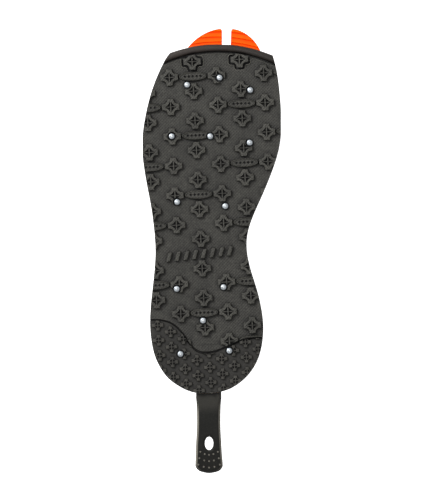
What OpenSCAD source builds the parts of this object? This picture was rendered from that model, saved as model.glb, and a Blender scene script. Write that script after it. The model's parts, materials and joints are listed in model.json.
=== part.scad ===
// Studded slip-on outsole for an ice boot, right foot, lying with its tread up.
// +X is the inner (medial) side, +Y is the toe, +Z is away from the boot.
// The origin is under the middle of the whole sole, on the surface it lies on.

/* [Sole] */
// Width across the ball of the foot
sole_width = 120.6; // [112:0.2:128]
// Length from the toe lip to the heel edge
sole_length = 304.4; // [290:0.2:320]
// Height of the boot-side plugs, which lift the carrier off the surface
plug_height = 5; // [4.6:0.1:7]
// Thickness of the carrier
carrier_thickness = 3.5; // [3:0.1:5]
// Radius of the toe's gentle downward curve
toe_radius = 1700; // [1600:50:4000]
// How far the tread halves stand apart at the ball of the foot
ball_gap = 0.3; // [0.2:0.05:0.6]

/* [Tread] */
// Thickness of the main tread's sheet
sheet_thickness = 3; // [2.5:0.1:4]
// Height of the main tread's lugs above the sheet
lug_height = 3; // [2:0.1:4]
// Size of a large lug across the sole
lug_width = 15.2; // [12:0.1:17]
// Size of a large lug along the sole
lug_length = 14.2; // [11:0.1:15]
// Width of a large lug's arms
lug_arm = 5.3; // [4:0.1:6]
// Distance between columns of large lugs
lug_pitch = 20.6; // [19:0.1:23]
// Distance between rows of large lugs
lug_row = 12.9; // [12:0.1:14]
// Length of an oval boss
boss_length = 24; // [20:0.5:26]
// Width of an oval boss
boss_width = 8; // [6:0.1:9]
// Turn of the lug rows against the sole
lug_turn = 2.8; // [0:0.1:5]

/* [Heel tread] */
// Thickness of the heel tread's sheet
heel_sheet_thickness = 2.5; // [2:0.1:3]
// Height of the heel tread's small lugs
heel_lug_height = 2.2; // [1.5:0.1:3]
// Size of a small lug
heel_lug_size = 9.4; // [8:0.1:10]
// Distance between columns of small lugs
heel_lug_pitch = 10.75; // [10:0.05:12]
// Distance between rows of small lugs
heel_lug_row = 13.2; // [12:0.1:14]
// Groove between the main tread and the heel tread
heel_groove = 1.2; // [0.6:0.1:2]

/* [Studs] */
// Diameter of a stud's head
stud_diameter = 5.2; // [4.6:0.1:5.6]
// Diameter of a stud's hidden flange
flange_diameter = 9; // [8:0.1:10]
// Diameter of a carbide tip
tip_diameter = 2.2; // [1.8:0.1:2.6]
// How far a carbide tip stands above its stud
tip_reach = 0.9; // [0.5:0.1:1.2]
// Diameter of the counterbore round a stud
counterbore = 7.5; // [6.5:0.1:8.5]

/* [Toe tongue] */
// Thickness of the forked tongue
tongue_thickness = 2.4; // [2:0.1:2.4]
// Radius of the outer tab's round edge
outer_tab_radius = 44; // [43:0.5:46]
// Radius of the inner tab's round edge
inner_tab_radius = 32.7; // [31:0.1:34]
// Width of the slot between the fork's two tabs
tongue_slot = 7.8; // [7:0.1:10]
// Width of the carrier's smooth toe lip
lip_width = 6.2; // [5:0.1:7]
// Height of the toe lip above the carrier
lip_height = 3.4; // [3:0.1:4]

/* [Heel strap] */
// Length of the free strap
strap_length = 68.4; // [60:0.2:76]
// Thickness of the strap
strap_thickness = 3.2; // [2.8:0.1:3.4]
// Width of the strap's narrow waist
strap_waist = 19.8; // [17:0.1:21]
// Width of the strap's wide tip
strap_tip = 24.2; // [22:0.1:25]
// Width of the buttonhole in the strap
hole_width = 7.3; // [6.5:0.1:8]
// Length of the buttonhole in the strap
hole_length = 11.5; // [10:0.1:13]
// How far the strap's tip droops
strap_droop = 4.6; // [3:0.1:4.7]

/* [Hidden] */
tread_black = [0.25, 0.25, 0.24];
carrier_black = [0.28, 0.27, 0.26];
strap_black = [0.18, 0.18, 0.17];
safety_orange = [1, 0.42, 0.07];
bright_steel = [0.75, 0.77, 0.8];
carbide_grey = [0.5, 0.52, 0.55];

// Heights of the layers, before the toe's bend
carrier_z = plug_height;
sheet_z = carrier_z + carrier_thickness;
lug_z = sheet_z + sheet_thickness;
lug_top = lug_z + lug_height;
heel_lug_z = sheet_z + heel_sheet_thickness;
heel_lug_top = heel_lug_z + heel_lug_height;
lip_top = sheet_z + lip_height;
tongue_z = sheet_z - tongue_thickness - 0.1;
strap_z = sheet_z - 0.1 - strap_thickness;
clearance = 0.1;
lip_groove = 0.9;

// Longer than the sole, and taller than it
beyond = 400;
tall_enough = 40;

// The outline below is drawn for a sole of this width and length
wide = sole_width / 120.6;
long = sole_length / 304.4;
function placed(p) = [p.x * wide, p.y * long];

// The two flex lines run across the sole
ball_y = 72 * long;
strap_y = -126 * long;
ball_slant = 3;
strap_slant = 9;
strap_gap = 0.3;

// Toe end of the outline: one arc between the two toe corners
toe_centre = placed([5.7, 59.8]);
toe_arc = 120.6 * long;
toe_left = 110.4;
toe_right = 66.8;

// Sides and heel, from the outer toe corner down round the heel to the inner one
side_points = [
    [-36.3, 172.9], [-41.6, 165], [-52.1, 140], [-59, 110], [-60.3, 87], [-57.4, 64],
    [-52, 35], [-48.9, 5], [-49.7, -17], [-53.7, -60], [-50, -90], [-40.5, -108],
    [-34, -114.3], [-20, -121.9], [-4.6, -124.2], [16, -120], [31.8, -108], [41.7, -90],
    [44.8, -65], [40.4, -38], [33.3, -15], [30, 5], [33.5, 25], [48.6, 60], [58.6, 90],
    [60.3, 118], [57.4, 152], [53.2, 170.7]
];

// Wavy edge between the main tread and the heel tread, from outside to inside
wave_points = [
    [-58, -59.7], [-43, -60], [-33, -63.5], [-24.5, -72], [-18, -82.5], [-10, -88],
    [3, -87.2], [17, -80.8], [31, -75.5], [50, -74.8]
];

// The first six studs are in front of the ball's flex line
stud_points = [
    [6.8, 151.2], [-21.5, 144.9], [33.5, 140.4], [-34.9, 100.1], [-1.3, 100.1], [33.1, 94.5],
    [-30.2, 42.8], [11.8, 39.2], [-30.5, -33], [10.3, -31.4], [-7.6, -60.6],
    [-27.3, -89.8], [15.4, -87]
];
first_heel_stud = 11;
flange_thickness = 1.2;
stud_lift = 0.05;
stud_count = len(stud_points);
function numbered(word, i) = str(word, i < 9 ? "0" : "", i + 1);

// A smooth curve through points, with the given number of steps between two of them
function spline_point(a, b, c, d, t) = 0.5 * ((2 * b) + (c - a) * t
    + (2 * a - 5 * b + 4 * c - d) * pow(t, 2) + (3 * b - a - 3 * c + d) * pow(t, 3));
function spline(p, steps) = [
    for (i = [0 : len(p) - 2])
    for (k = [0 : steps - (i == len(p) - 2 ? 0 : 1)])
    spline_point(
        i == 0 ? 2 * p[0] - p[1] : p[i - 1], p[i], p[i + 1],
        i == len(p) - 2 ? 2 * p[i + 1] - p[i] : p[i + 2], k / steps
    )
];
function arc(centre, r, from, to, steps) = [
    for (k = [0 : steps])
    centre + r * [cos(from + (to - from) * k / steps), sin(from + (to - from) * k / steps)]
];

// How far a layer has dropped at y: the toe curves down, and the strap droops
strap_bend = pow(strap_length, 2) / (2 * strap_droop);
function drop(y) =
    y > ball_y ? pow(y - ball_y, 2) / (2 * toe_radius)
    : y < strap_y ? pow(strap_y - y, 2) / (2 * strap_bend) : 0;

// Places of the lugs: c counts columns across the sole, r counts rows from the toe
function turned(v, angle) = [v.x * cos(angle) - v.y * sin(angle), v.x * sin(angle) + v.y * cos(angle)];
function lug_place(c, r) = placed([-37.7, 164.3] + turned([c * lug_pitch, -r * lug_row], lug_turn));
function heel_lug_place(c, r) =
    placed([-47.1, -64.7]
    + turned([c * heel_lug_pitch, -(r + (c % 2 == 0 ? 0 : 0.49)) * heel_lug_row], lug_turn + 1));
grip_row = 13;
last_row = 19;
heel_columns = 9;
heel_rows = 6;

// A bent layer from height low to height high, between y0 and y1, wider than the sole
module layer(low, high, y0 = -beyond / 2, y1 = beyond / 2, step = 10) {
    ys = concat([y0], [for (y = [ceil(y0 / step + 0.1) * step : step : y1 - 0.1]) y], [y1]);
    rotate([90, 0, 90])
    linear_extrude(height = beyond, center = true)
    polygon(concat(
        [for (y = ys) [y, low - drop(y)]],
        [for (i = [len(ys) - 1 : -1 : 0]) [ys[i], high - drop(ys[i])]]
    ));
}

// Everything on one side of a flex line, whose face leans back by the slant
module side_of(y, z, gap, slant, sign) {
    lean = tan(slant);
    rotate([90, 0, 90])
    linear_extrude(height = beyond, center = true)
    polygon([
        [y + sign * gap / 2, z - 50], [y + sign * gap / 2, z],
        [y + sign * (gap / 2 + 50 * lean), z + 50], [y + sign * beyond, z + 50],
        [y + sign * beyond, z - 50]
    ]);
}
module ball_front() side_of(ball_y, carrier_z, ball_gap, ball_slant, 1);
module ball_rear() side_of(ball_y, carrier_z, ball_gap, ball_slant, -1);

module sole_outline(steps = 3) {
    polygon(concat(
        spline([for (p = side_points) placed(p)], steps),
        arc(toe_centre, toe_arc, toe_right, toe_left, 12)
    ));
}

// The ground in front of the wavy edge, moved back by shift
module main_region(shift = 0) {
    polygon(concat(
        [for (p = spline([for (q = wave_points) placed(q)], 3)) p - [0, shift]],
        [[beyond, beyond], [-beyond, beyond]]
    ));
}

module inside_lip(gap) {
    translate(toe_centre)
    circle(r = toe_arc - lip_width - gap, $fn = 96);
    translate([-beyond / 2, -beyond])
    square([beyond, beyond + toe_centre.y]);
}

// A plus sign of given size and arm width, with round inside corners
module plus(w, l, arm, r) {
    half = [w, l] / 2;
    inner = arc([arm / 2 + r, arm / 2 + r], r, 270, 180, 3);
    quarter = concat([[half.x, arm / 2]], inner, [[arm / 2, half.y]]);
    last = len(quarter) - 1;
    polygon(concat(
        quarter,
        [for (i = [last : -1 : 0]) [-quarter[i].x, quarter[i].y]],
        [for (p = quarter) -p],
        [for (i = [last : -1 : 0]) [quarter[i].x, -quarter[i].y]]
    ));
}

module stadium(l, w) {
    for (s = [-1, 1])
    translate([s * (l - w) / 2, 0])
    circle(d = w, $fn = 32);
    square([l - w, w], center = true);
}

module main_lugs_2d() {
    for (r = [0 : last_row])
    for (c = [-1 : 5]) {
        even_site = (c + r) % 2 != 0;
        boss_site = r % 2 == 1 && (c - (r % 4 == 1 ? 1 : 3)) % 4 == 0;
        if (even_site && r != grip_row)
            translate(lug_place(c, r))
            rotate(lug_turn)
            plus(lug_width, lug_length, lug_arm, 3.5);
        if (boss_site && r != grip_row)
            translate(lug_place(c, r))
            rotate(lug_turn)
            stadium(boss_length, boss_width);
    }
}

// A row of slanted grip bars across the arch
bar_count = 8;
bar_pitch = 7.6;
module grip_bars_2d() {
    translate(placed([-10.4, -3.6]))
    rotate(lug_turn + 3)
    for (i = [0 : bar_count - 1])
    translate([(i - (bar_count - 1) / 2) * bar_pitch, 0])
    polygon([[-3.2, -4], [0.2, -4], [3.2, 4], [-0.2, 4]]);
}

module heel_lugs_2d() {
    for (c = [0 : heel_columns - 1])
    for (r = [-1 : heel_rows - 1])
    translate(heel_lug_place(c, r))
    rotate(lug_turn)
    plus(heel_lug_size + 0.3, heel_lug_size - 0.2, 3, 1.8);
}

// Puts a stud's shapes at p, standing square to the carrier even where the toe curves down
module standing_at(p) {
    slope = p.y > ball_y ? atan((p.y - ball_y) / toe_radius) : 0;
    translate([p.x, p.y, sheet_z - drop(p.y)])
    rotate([-slope, 0, 0])
    translate([0, 0, -sheet_z])
    children();
}

// Everything removed round one stud: the flange's seat, the shank's hole and the counterbore
counterbore_depth = 3.4;
module stud_space(p, top) {
    seat = stud_lift + flange_thickness + clearance;
    standing_at(p) {
        translate([0, 0, sheet_z - 1])
        cylinder(d = flange_diameter + clearance, h = 1 + seat, $fn = 64);
        translate([0, 0, sheet_z])
        cylinder(d = stud_diameter + clearance, h = tall_enough, $fn = 64);
        translate([0, 0, top - counterbore_depth])
        cylinder(d = counterbore, h = tall_enough, $fn = 64);
    }
}

module main_sheet_2d() {
    intersection() {
        sole_outline();
        main_region();
        inside_lip(lip_groove);
    }
}

module main_tread() {
    difference() {
        union() {
            intersection() {
                linear_extrude(height = tall_enough)
                main_sheet_2d();
                layer(sheet_z, lug_z);
            }
            intersection() {
                linear_extrude(height = tall_enough)
                intersection() {
                    main_sheet_2d();
                    union() {
                        main_lugs_2d();
                        grip_bars_2d();
                    }
                }
                layer(lug_z - 0.5, lug_top);
            }
        }
        for (i = [0 : first_heel_stud - 1])
        stud_space(placed(stud_points[i]), lug_top);
    }
}

module tread_forefoot() {
    color(tread_black)
    intersection() {
        main_tread();
        ball_front();
    }
}

module tread_arch() {
    color(tread_black)
    intersection() {
        main_tread();
        ball_rear();
    }
}

module heel_tread() {
    color(tread_black)
    difference() {
        translate([0, 0, sheet_z]) {
            linear_extrude(height = heel_sheet_thickness)
            difference() {
                sole_outline();
                main_region(heel_groove);
            }
            linear_extrude(height = heel_sheet_thickness + heel_lug_height)
            difference() {
                intersection() {
                    sole_outline();
                    heel_lugs_2d();
                }
                main_region(heel_groove);
            }
        }
        for (i = [first_heel_stud : stud_count - 1])
        stud_space(placed(stud_points[i]), heel_lug_top);
    }
}

// The tongue: a plate held in the carrier, and two round tabs that stand out in front
tab_tip = 195 * long;
slot_x = 12.9;
root_y = 150 * long;
anchor_y = 158 * long;
anchor_xs = [-13, 11, 35];
anchor_diameter = 5;
rib_pitch = 4.4;
rib_groove = 1.2;
rib_depth = 0.7;
groove_floor = tongue_z + tongue_thickness - rib_depth - drop(toe_arc + toe_centre.y);

module tongue_plate_2d(grow = 0) {
    for (tab = [[14, outer_tab_radius, slot_x - beyond], [12.3, inner_tab_radius, slot_x]])
    intersection() {
        translate([tab[0], tab_tip - tab[1]])
        circle(r = tab[1] + grow, $fn = 96);
        translate([tab[2], root_y - grow])
        square([beyond, 60]);
    }
}

// The slot between the tabs widens a little toward the toe
module tongue_slot_2d() {
    foot = toe_centre.y + toe_arc - 3;
    half = tongue_slot / 2;
    polygon([
        [slot_x - half, foot], [slot_x + half - 0.5, foot],
        [slot_x + half + 0.8, foot + 30], [slot_x - half, foot + 30]
    ]);
}

module toe_tongue() {
    color(safety_orange)
    difference() {
        intersection() {
            linear_extrude(height = tall_enough)
            difference() {
                tongue_plate_2d();
                tongue_slot_2d();
                for (x = anchor_xs)
                translate([x, anchor_y])
                circle(d = anchor_diameter + clearance, $fn = 48);
            }
            layer(tongue_z, tongue_z + tongue_thickness);
        }
        // Grooves between the ribs, along the toe's curve
        for (i = [0 : 2])
        translate([toe_centre.x, toe_centre.y, groove_floor])
        difference() {
            cylinder(r = toe_arc + (i + 0.6) * rib_pitch, h = tall_enough, $fn = 180);
            translate([0, 0, -1])
            cylinder(r = toe_arc + (i + 0.6) * rib_pitch - rib_groove, h = tall_enough + 2, $fn = 180);
        }
    }
}

module carrier_front() {
    color(carrier_black)
    difference() {
        union() {
            intersection() {
                linear_extrude(height = tall_enough)
                sole_outline();
                layer(carrier_z, sheet_z);
                ball_front();
            }
            intersection() {
                linear_extrude(height = tall_enough)
                difference() {
                    sole_outline();
                    inside_lip(0);
                }
                layer(sheet_z - 1, lip_top, toe_centre.y + 20);
            }
        }
        // Pocket for the tongue, left standing round its anchor bosses
        intersection() {
            linear_extrude(height = tall_enough)
            difference() {
                tongue_plate_2d(clearance);
                for (x = anchor_xs)
                translate([x, anchor_y])
                circle(d = anchor_diameter, $fn = 48);
            }
            layer(tongue_z - 0.05, sheet_z, root_y - 5);
        }
    }
}

// The strap's hidden tail lies in a slot in the carrier, under the heel tread
tail_length = 26;
tail_width = 30;
tail_thickness = 2.5;
strap_x = -2.3;
module strap_tail_2d(grow = 0) {
    translate([strap_x, strap_y])
    polygon([
        [-10.6 - grow, 0], [10.6 + grow, 0], [tail_width / 2 + grow, 12],
        [tail_width / 2 + grow, tail_length + grow], [-tail_width / 2 - grow, tail_length + grow],
        [-tail_width / 2 - grow, 12]
    ]);
}

module carrier_rear() {
    color(carrier_black)
    difference() {
        intersection() {
            linear_extrude(height = tall_enough)
            sole_outline();
            layer(carrier_z, sheet_z, strap_y);
            ball_rear();
        }
        translate([0, 0, sheet_z - clearance - tail_thickness - clearance])
        linear_extrude(height = tall_enough)
        strap_tail_2d(clearance);
    }
}

module strap_anchor() {
    color(strap_black)
    intersection() {
        translate([0, 0, sheet_z - clearance - tail_thickness])
        linear_extrude(height = tail_thickness)
        strap_tail_2d();
        side_of(strap_y, strap_z, strap_gap, strap_slant, 1);
    }
}

// Half widths of the strap, and how far down the strap each one is
strap_sides = [
    [11, 0], [10.2, 8], [strap_waist / 2, 20], [10, 31], [10.6, 41], [11.2, 52],
    [strap_tip / 2, 62], [11.3, 65.5], [7.7, 68.4], [0, 70]
];
hole_drop = 42;
dot_diameter = 1.8;
dot_height = 0.5;
dot_row = 5.6;

module strap_2d() {
    right = [for (p = spline(strap_sides, 3)) [p.x, -p.y * strap_length / 70]];
    translate([strap_x, strap_y])
    polygon(concat(right, [for (i = [len(right) - 2 : -1 : 0]) [-right[i].x, right[i].y]]));
}

module heel_strap() {
    color(strap_black) {
        difference() {
            intersection() {
                linear_extrude(height = tall_enough)
                strap_2d();
                layer(strap_z, strap_z + strap_thickness, -beyond / 2, ball_y);
                side_of(strap_y, strap_z, strap_gap, strap_slant, -1);
            }
            translate([strap_x, strap_y - hole_drop, 0]) {
                for (s = [-1, 1])
                translate([0, s * (hole_length - hole_width) / 2, -1])
                cylinder(d = hole_width, h = tall_enough, $fn = 64);
                translate([-hole_width / 2, -(hole_length - hole_width) / 2, -1])
                cube([hole_width, hole_length - hole_width, tall_enough]);
            }
        }
        // Grip dots, in rows that sag toward the tip
        for (row = [0 : 2])
        for (i = [-2 : 2]) {
            x = i * (3.8 + row * 0.45);
            y = strap_y - hole_drop - 10 - row * dot_row + pow(i, 2) * 0.65;
            top = strap_z + strap_thickness - drop(y);
            translate([strap_x + x, y, top - 1])
            cylinder(d = dot_diameter, h = 1 + dot_height, $fn = 24);
        }
    }
}

// Boot-side plugs, flat underneath and fitted to the carrier on top
plug_groove_pitch = 9;
plug_groove_width = 3;
plug_groove_depth = 1.5;
module plug(centre, l, w, groove_count) {
    difference() {
        intersection() {
            translate(centre)
            linear_extrude(height = tall_enough)
            stadium(l, w);
            layer(-20, carrier_z);
            translate([-beyond / 2, -beyond / 2, 0])
            cube(beyond);
        }
        for (i = [0 : groove_count - 1])
        translate(concat(centre + [(i - (groove_count - 1) / 2) * plug_groove_pitch, 0], [-1]))
        linear_extrude(height = 1 + plug_groove_depth)
        rotate(90)
        stadium(w * 0.55, plug_groove_width);
    }
}

module forefoot_plug() {
    color(strap_black)
    plug(placed([2, 122]), 74, 44, 5);
}

module heel_plug() {
    color(strap_black)
    plug(placed([-4.5, -84]), 46, 36, 3);
}

// A steel stud and its carbide tip, standing on the carrier
stud_foot = sheet_z + stud_lift;
function stud_top(i) = i < first_heel_stud ? lug_top : heel_lug_top;
tip_depth = 2.4;

module stud(i) {
    p = placed(stud_points[i]);
    tall = stud_top(i) - stud_foot;
    r = stud_diameter / 2;
    rim = flange_diameter / 2;
    color(bright_steel)
    standing_at(p)
    translate([0, 0, stud_foot])
    difference() {
        rotate_extrude($fn = 64)
        polygon([
            [0, 0], [rim, 0], [rim, flange_thickness], [r, flange_thickness],
            [r, tall - 0.5], [r - 0.5, tall], [0, tall]
        ]);
        translate([0, 0, tall - tip_depth])
        cylinder(d = tip_diameter + 0.04, h = 10, $fn = 48);
    }
}

module stud_tip(i) {
    p = placed(stud_points[i]);
    r = tip_diameter / 2;
    tall = tip_depth + tip_reach;
    color(carbide_grey)
    standing_at(p)
    translate([0, 0, stud_top(i) - tip_depth])
    rotate_extrude($fn = 48)
    polygon([[0, 0], [r, 0], [r, tall - 0.4], [r - 0.4, tall], [0, tall]]);
}

STUDS = [for (i = [0 : stud_count - 1]) numbered("stud_", i)];
TIPS = [for (i = [0 : stud_count - 1]) numbered("stud_tip_", i)];
carrier_front();
carrier_rear();
tread_forefoot();
tread_arch();
heel_tread();
toe_tongue();
strap_anchor();
heel_strap();
forefoot_plug();
heel_plug();
for (i = [0 : stud_count - 1]) {
    stud(i);
    stud_tip(i);
}
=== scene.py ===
"""Looks of a studded slip-on outsole: rubber treads, carrier, orange toe tongue, heel strap and steel studs.

Shapes are drawn in millimetres, flat, and bent like the CAD layers when they are made into pieces in metres.
"""
import json
import math

import bmesh
import bpy
import numpy as np
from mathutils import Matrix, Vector
from mathutils.geometry import tessellate_polygon


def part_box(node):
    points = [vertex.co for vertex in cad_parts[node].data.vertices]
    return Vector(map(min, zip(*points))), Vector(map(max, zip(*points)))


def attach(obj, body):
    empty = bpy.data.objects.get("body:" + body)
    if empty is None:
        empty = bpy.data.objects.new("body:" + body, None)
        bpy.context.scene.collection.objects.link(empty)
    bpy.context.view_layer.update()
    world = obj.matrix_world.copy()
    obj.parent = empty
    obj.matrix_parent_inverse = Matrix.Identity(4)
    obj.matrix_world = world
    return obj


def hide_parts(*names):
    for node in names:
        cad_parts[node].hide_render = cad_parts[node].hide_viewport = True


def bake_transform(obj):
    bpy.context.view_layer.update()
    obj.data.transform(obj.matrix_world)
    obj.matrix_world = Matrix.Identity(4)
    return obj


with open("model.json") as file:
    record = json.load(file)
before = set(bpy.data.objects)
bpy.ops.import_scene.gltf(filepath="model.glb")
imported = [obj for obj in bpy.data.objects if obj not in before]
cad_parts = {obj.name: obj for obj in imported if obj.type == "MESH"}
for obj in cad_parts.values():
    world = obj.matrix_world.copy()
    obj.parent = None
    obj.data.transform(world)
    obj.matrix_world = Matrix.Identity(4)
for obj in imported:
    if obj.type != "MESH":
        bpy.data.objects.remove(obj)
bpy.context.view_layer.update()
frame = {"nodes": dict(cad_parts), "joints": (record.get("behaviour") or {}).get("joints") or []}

MM = 0.001
CARRIER = ("carrier_front", "carrier_rear")
TREAD = ("tread_forefoot", "tread_arch")

# ---------------------------------------------------------------- places taken from the frame, in millimetres


def joint(name):
    return next(j for j in frame["joints"] if j["name"] == name)


def low(node):
    return np.array(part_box(node)[0]) / MM


def high(node):
    return np.array(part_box(node)[1]) / MM


BALL_Y = joint("ball_flex")["pos_m"][1] / MM
STRAP_X, STRAP_Y, STRAP_Z = np.array(joint("strap_flex")["pos_m"]) / MM
CARRIER_Z = low("carrier_rear")[2]
SHEET_Z = high("carrier_rear")[2]
LUG_TOP = high("tread_arch")[2]
LUG_HEIGHT = 3.0
LUG_Z = LUG_TOP - LUG_HEIGHT
HEEL_TOP = high("heel_tread")[2]
HEEL_LUG_HEIGHT = 2.2
HEEL_Z = HEEL_TOP - HEEL_LUG_HEIGHT

# The toe end is an arc with a raised lip inside it, and a groove between the lip and the tread
TOE_CENTRE = np.array([5.7, 59.8])
TOE_ARC = 120.6
LIP_WIDTH = 6.2
LIP_GROOVE = 0.9
LIP_TOP = SHEET_Z + 3.4

# The layers in front of the ball curve gently down with this radius, and the strap droops at its tip
TOE_RADIUS = 1700.0
STRAP_LENGTH = STRAP_Y - low("heel_strap")[1]
STRAP_DROOP = 4.6

# Both fields of lugs: the first lug's place, the rows' turn against the sole, and the steps across and along
LUG_ORIGIN = np.array([-37.7, 164.3])
LUG_TURN = math.radians(2.8)
LUG_PITCH = 20.6
LUG_ROW = 12.9
GRIP_ROW = 13
LAST_ROW = 19
HEEL_ORIGIN = np.array([-47.1, -64.7])
HEEL_TURN = math.radians(3.8)
HEEL_PITCH = 10.75
HEEL_ROW = 13.2
HEEL_STAGGER = 0.49
HEEL_GROOVE = 1.2

# Plans of the lugs: width, length, arm width, and the rounds of the inside and outside corners
LUG_PLAN = (15.2, 14.2, 5.3, 3.5, 0.4)
HEEL_LUG_PLAN = (9.9, 9.3, 2.9, 2.0, 0.5)

STUDS = [f"{i:02d}" for i in range(1, 14)]
MAIN_STUDS = STUDS[:11]
HEEL_STUDS = STUDS[11:]
SHANK_RADIUS = 2.6
COUNTERBORE = 7.5
COUNTERBORE_DEPTH = 3.4

# The orange tongue: each tab has a round end, given by centre, radius and two angles, and one straight side
TONGUE_TOP = CARRIER_Z + 3.4
TONGUE_THICK = 2.4
TAB_CORNER = 3.0
TABS = (
    ((14.0, 151.0), 44.0, 100.0, 157.0, ((9.0, 168), (9.0, 194.72))),
    ((12.3, 162.3), 32.7, 10.04, 77.0, ((17.0, 194.66), (16.1, 168))),
)
RIB_DEPTH = 0.85
RIB_GROOVES = TOE_ARC + np.array([-6.7, -2.3, 2.1, 6.5, 10.9, 19.7])

# The middle of the strap's buttonhole
HOLE_Y = STRAP_Y - 42


def drop(y):
    """How far a layer lies below its flat place at y: by the toe spring, and by the strap's droop."""
    y = np.asarray(y, float)
    toe = np.maximum(y - BALL_Y, 0) ** 2 / (2 * TOE_RADIUS)
    strap = np.maximum(STRAP_Y - y, 0) ** 2 * STRAP_DROOP / STRAP_LENGTH**2
    return toe + strap


# ---------------------------------------------------------------- outlines, as rings of points


def arc(centre, r, start, end, steps):
    """Points along a circle, from one angle in degrees to another."""
    a = np.radians(np.linspace(start, end, steps + 1))
    return np.asarray(centre, float) + r * np.c_[np.cos(a), np.sin(a)]


def ellipse(rx, ry, steps=40):
    a = np.linspace(0, 2 * math.pi, steps, endpoint=False)
    return np.c_[rx * np.cos(a), ry * np.sin(a)]


def turned(points, angle):
    """Points turned counterclockwise about the origin, by an angle in radians."""
    c, s = math.cos(angle), math.sin(angle)
    return np.asarray(points, float) @ np.array([[c, s], [-s, c]])


def offset(ring, distance):
    """The ring moved outward by distance; the ring runs counterclockwise."""
    before = ring - np.roll(ring, 1, 0)
    after = np.roll(ring, -1, 0) - ring
    n1 = np.c_[before[:, 1], -before[:, 0]] / np.linalg.norm(before, axis=1)[:, None]
    n2 = np.c_[after[:, 1], -after[:, 0]] / np.linalg.norm(after, axis=1)[:, None]
    n = n1 + n2
    n /= np.maximum(np.linalg.norm(n, axis=1), 1e-9)[:, None]
    return ring + n * (distance / np.maximum((n * n1).sum(1), 0.5))[:, None]


def rounded(corners, radius, steps=4):
    """A ring through corners, each rounded off; radius is one number, or one for each corner."""
    corners = np.asarray(corners, float)
    radii = np.broadcast_to(radius, len(corners))
    ring = []
    for i, p in enumerate(corners):
        back = corners[i - 1] - p
        ahead = corners[(i + 1) % len(corners)] - p
        if radii[i] <= 0:
            ring.append(p)
            continue
        a = p + back / np.linalg.norm(back) * min(radii[i], np.linalg.norm(back) / 2)
        b = p + ahead / np.linalg.norm(ahead) * min(radii[i], np.linalg.norm(ahead) / 2)
        for t in np.linspace(0, 1, steps + 1):
            ring.append((1 - t) ** 2 * a + 2 * t * (1 - t) * p + t**2 * b)
    return np.array(ring)


def plus_ring(width, length, arm, fillet, corner):
    """A plus sign with round inside corners and slightly rounded arm ends, counterclockwise."""
    hx, hy, ha = width / 2, length / 2, arm / 2
    quarter = np.vstack([
        arc((hx - corner, ha - corner), corner, 0, 90, 3),
        arc((ha + fillet, ha + fillet), fillet, 270, 180, 7),
        arc((ha - corner, hy - corner), corner, 0, 90, 3),
    ])
    flipped = quarter[::-1] * (-1, 1)
    return np.vstack([quarter, flipped, -quarter, -flipped])


_edges = {}


def crossing(nodes, axis, at):
    """Lowest and highest place, on the other plan axis, where these CAD nodes cross the plane axis = at."""
    found = []
    for node in nodes:
        if node not in _edges:
            mesh = frame["nodes"][node].data
            points = np.array([v.co for v in mesh.vertices]) / MM
            pairs = np.array([e.vertices[:] for e in mesh.edges])
            _edges[node] = points[pairs[:, 0]], points[pairs[:, 1]]
        p, q = _edges[node]
        hit = (p[:, axis] - at) * (q[:, axis] - at) < 0
        p, q = p[hit], q[hit]
        t = (at - p[:, axis]) / (q[:, axis] - p[:, axis])
        found.append(p[:, 1 - axis] + t * (q[:, 1 - axis] - p[:, 1 - axis]))
    found = np.concatenate(found)
    return found.min(), found.max()


def smooth(ring, passes=3, sharpest=20):
    """Rounds a ring's slight facets and leaves its corners alone."""
    for _ in range(passes):
        a = ring - np.roll(ring, 1, 0)
        b = np.roll(ring, -1, 0) - ring
        turn = np.degrees(np.abs(np.arctan2(a[:, 0] * b[:, 1] - a[:, 1] * b[:, 0], (a * b).sum(1))))
        soft = (np.roll(ring, 1, 0) + 2 * ring + np.roll(ring, -1, 0)) / 4
        ring = np.where((turn < sharpest)[:, None], soft, ring)
    return ring


def sole_ring(step=2.6):
    """The sole's outline, read off the CAD carrier: heel, right side, toe and left side, counterclockwise."""
    toe_y = high("carrier_front")[1]
    heel_y = low("carrier_rear")[1]
    rows = [y for y in np.arange(heel_y + 5, toe_y - 8.5, step) if abs(y - BALL_Y) > 1]
    sides = [(y, crossing(CARRIER, 1, y)) for y in rows]
    right = [(s[1], y) for y, s in sides if y < toe_y - 9.7]
    left = [(s[0], y) for y, s in sides][::-1]
    toe = [(x, crossing(CARRIER, 0, x)[1]) for x in np.linspace(53, left[0][0] + 0.3, 36)]
    heel_xs = np.linspace(left[-1][0] + 0.8, right[0][0] - 0.8, 26)
    heel = [(x, crossing(CARRIER, 0, x)[0]) for x in heel_xs]
    ring = offset(smooth(np.array(heel + right + toe + left)), 0.35)
    return np.clip(ring, (low("carrier_front")[0], heel_y), (high("carrier_front")[0], toe_y))


def wave_line(step=2.5):
    """The wavy rear edge of the main tread, from left to right and on past both sides of the sole."""
    xs = np.arange(-52, 44, step)
    ys = np.array([crossing(("tread_arch",), 0, x)[0] for x in xs])
    for _ in range(3):
        ys[1:-1] = (ys[:-2] + 2 * ys[1:-1] + ys[2:]) / 4
    line = np.c_[xs, ys]
    return np.vstack([[-80, ys[0]], line, [80, ys[-1]]])


# ---------------------------------------------------------------- solids


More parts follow.
